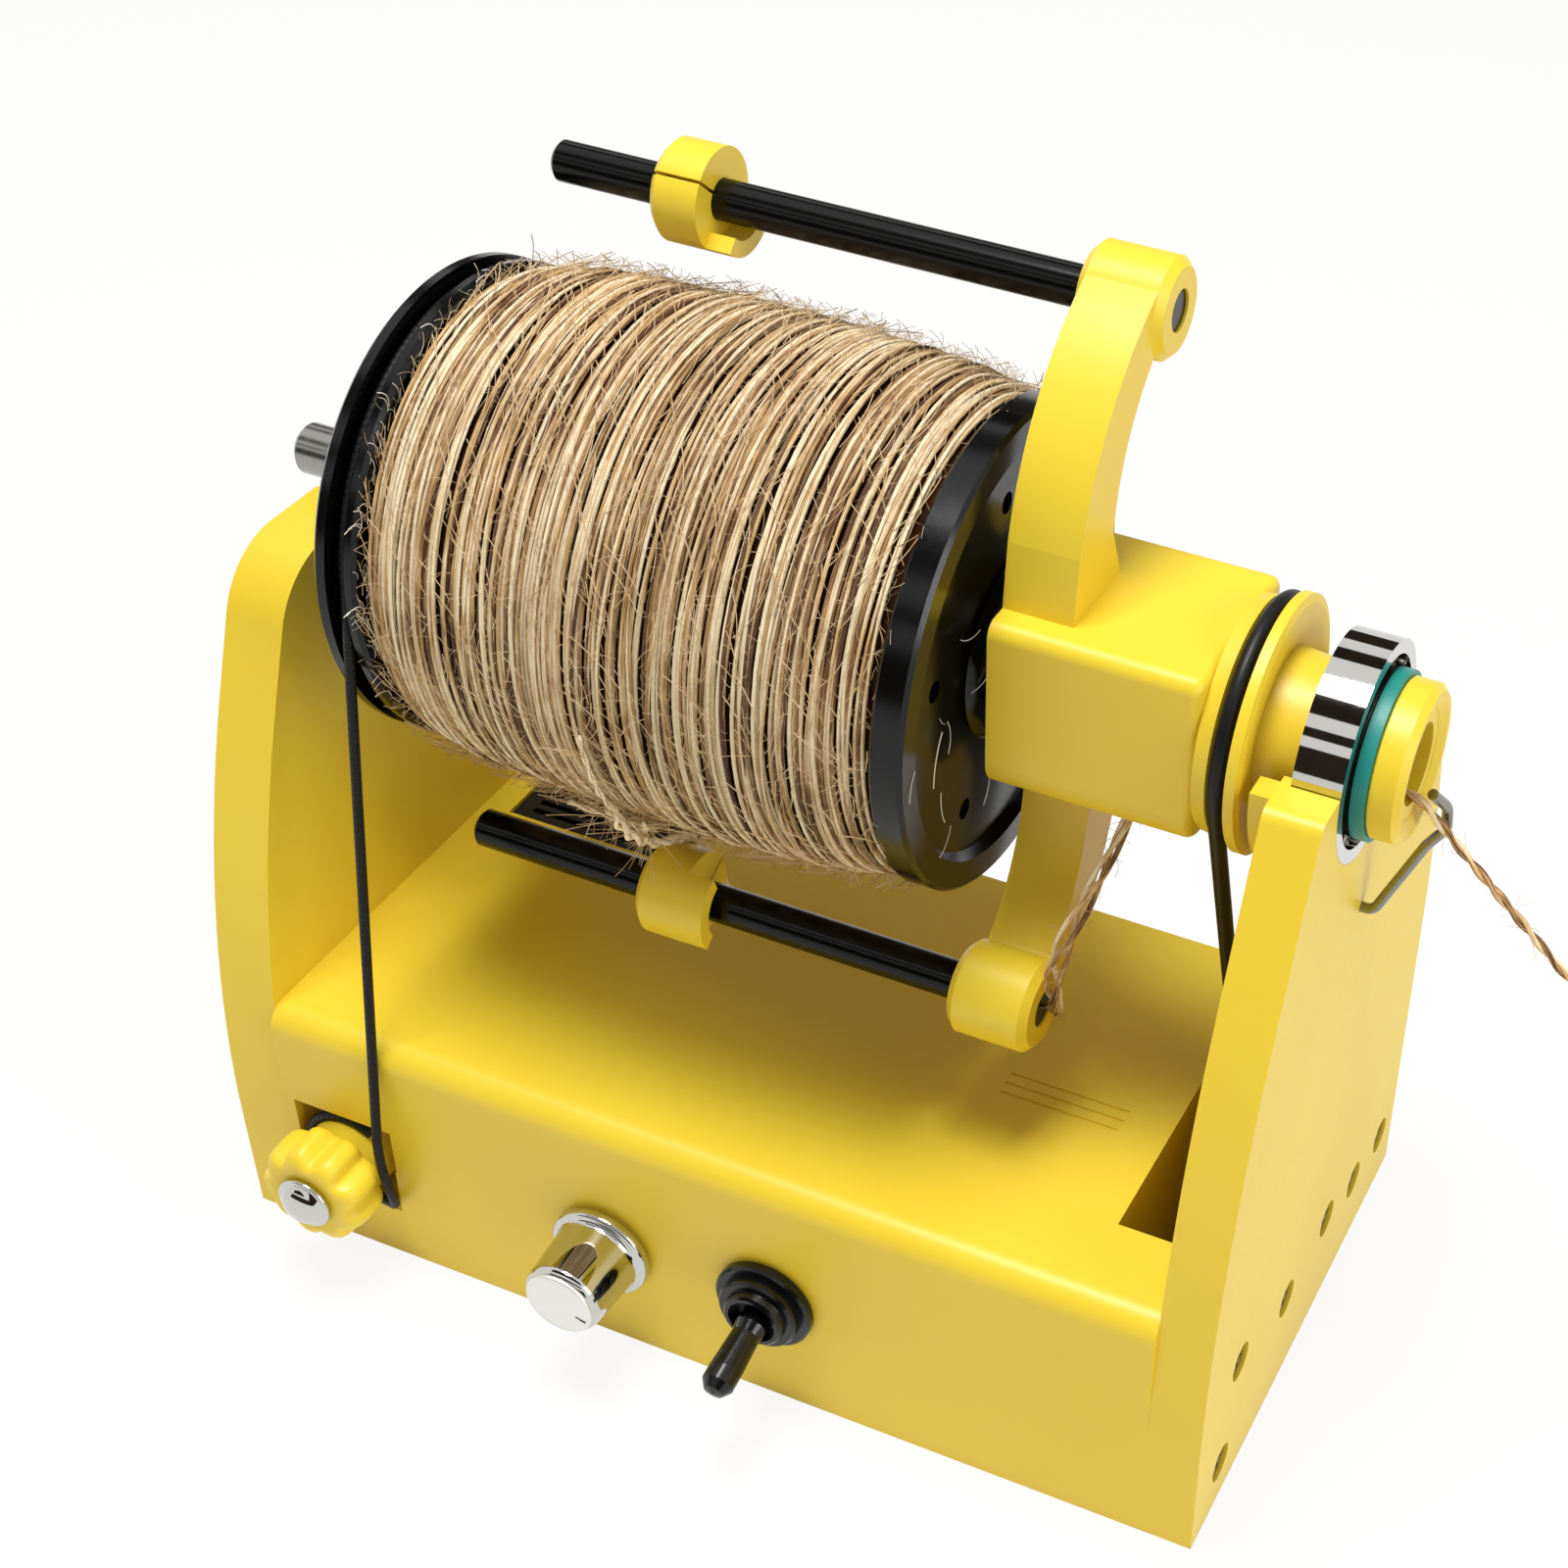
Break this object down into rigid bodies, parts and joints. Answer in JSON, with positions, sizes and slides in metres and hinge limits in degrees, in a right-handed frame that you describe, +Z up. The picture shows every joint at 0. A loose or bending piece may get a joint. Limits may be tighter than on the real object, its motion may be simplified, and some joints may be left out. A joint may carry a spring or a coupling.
{
  "type": "electric yarn spinner",
  "caption": "Small motor-driven yarn spinner: yellow base and end plates carrying a belt-driven flyer, a wound bobbin with a cord brake, sliding yarn hooks and front controls.",
  "frame": {"origin": "centre of the base's underside, midway between the end plates' outer faces", "axes": "+X along the flyer's axis towards the yarn orifice, +Y from the control side to the back, +Z up"},
  "size_m": [0.2236, 0.1116, 0.1742],
  "materials": {
    "lemon_plastic": "bright lemon-yellow moulded plastic with a satin gloss",
    "black_plastic": "black moulded plastic",
    "knob_cap": "bright metal cap with a pointer slot",
    "black_gloss": "glossy black moulded plastic",
    "black_rod": "glossy black rod",
    "rubber_belt": "round black rubber belt",
    "rubber_boot": "black rubber",
    "steel": "plain bright steel",
    "chrome": "polished chrome",
    "brass": "turned brass",
    "teal_ring": "teal plastic ring",
    "jute_yarn": "hairy brown jute yarn",
    "brake_line": "thin black cord",
    "circuit_board": "green circuit board",
    "nylon": "natural nylon"
  },
  "bodies": {
    "base": {"base_housing": "lemon_plastic", "bottom_cover": "black_plastic", "cover_screws": "steel", "left_upright": "lemon_plastic", "right_upright": "lemon_plastic", "upright_screws": "steel", "rear_bearing_outer": "steel", "rear_bearing_balls": "steel", "front_bearing_outer": "chrome", "front_bearing_balls": "steel", "motor": "steel", "motor_screws": "steel", "drive_belt": "rubber_belt", "vent_grille": "black_plastic", "brake_cord": "brake_line", "brake_spring": "steel", "brake_anchor": "chrome", "potentiometer": "black_plastic", "speed_nut": "chrome", "toggle_switch": "black_plastic", "toggle_boot": "rubber_boot", "power_jack": "black_plastic", "power_jack_nut": "chrome", "pedal_jack": "black_plastic", "pedal_jack_nut": "chrome", "speed_board": "circuit_board", "board_parts": "black_plastic", "board_standoffs": "nylon", "wire_guide": "chrome", "yarn_tail": "jute_yarn"},
    "flyer": {"flyer_hub": "lemon_plastic", "set_screws": "steel", "steel_shaft": "steel", "upper_rod": "black_rod", "lower_rod": "black_rod", "whorl": "lemon_plastic", "spacer_ring": "teal_ring", "orifice_nose": "lemon_plastic", "front_bearing_inner": "steel", "rear_bearing_inner": "steel", "stop_collar": "steel", "thrust_washer": "steel", "yarn_lead": "jute_yarn"},
    "bobbin": {"brake_flange": "black_gloss", "plain_flange": "black_gloss", "bobbin_core": "black_rod", "bobbin_bushings": "brass", "yarn_pack": "jute_yarn"},
    "motor_rotor": {"motor_shaft": "steel", "motor_pulley": "brass"},
    "tension_control": {"tension_knob": "lemon_plastic", "tension_bolt": "chrome", "tension_nut": "chrome"},
    "speed_control": {"speed_knob": "chrome", "speed_knob_cap": "knob_cap", "speed_shaft": "steel"},
    "switch_lever": {"toggle_lever": "rubber_boot"},
    "upper_slider": {"upper_hook": "lemon_plastic"},
    "lower_slider": {"lower_hook": "lemon_plastic", "yarn_feed": "jute_yarn"}
  },
  "joints": [
    {"name": "flyer_spin", "type": "hinge", "parent": "base", "child": "flyer", "pos_m": [0, 0.0015, 0.1193], "axis": [1, 0, 0], "continuous": true},
    {"name": "bobbin_spin", "type": "hinge", "parent": "flyer", "child": "bobbin", "pos_m": [-0.015, 0.0015, 0.1193], "axis": [1, 0, 0], "continuous": true},
    {"name": "pulley_spin", "type": "hinge", "parent": "base", "child": "motor_rotor", "pos_m": [0.0681, 0.0235, 0.022], "axis": [1, 0, 0], "continuous": true},
    {"name": "tension_turn", "type": "hinge", "parent": "base", "child": "tension_control", "pos_m": [-0.0644, -0.0465, 0.0193], "axis": [0, -1, 0], "range_deg": [-180, 180]},
    {"name": "speed_turn", "type": "hinge", "parent": "base", "child": "speed_control", "pos_m": [-0.0158, -0.0465, 0.021], "axis": [0, -1, 0], "range_deg": [-150, 150]},
    {"name": "switch_throw", "type": "hinge", "parent": "base", "child": "switch_lever", "pos_m": [0.013, -0.0475, 0.022], "axis": [-1, 0, 0], "range_deg": [0, 24]},
    {"name": "upper_hook_slide", "type": "slide", "parent": "flyer", "child": "upper_slider", "axis": [1, 0, 0], "range_m": [-0.018, 0.05]},
    {"name": "lower_hook_slide", "type": "slide", "parent": "flyer", "child": "lower_slider", "axis": [1, 0, 0], "range_m": [-0.031, 0.018]}
  ],
  "couplings": [
    {"joint": "pulley_spin", "follows": "flyer_spin", "ratio": 2.3889}
  ]
}
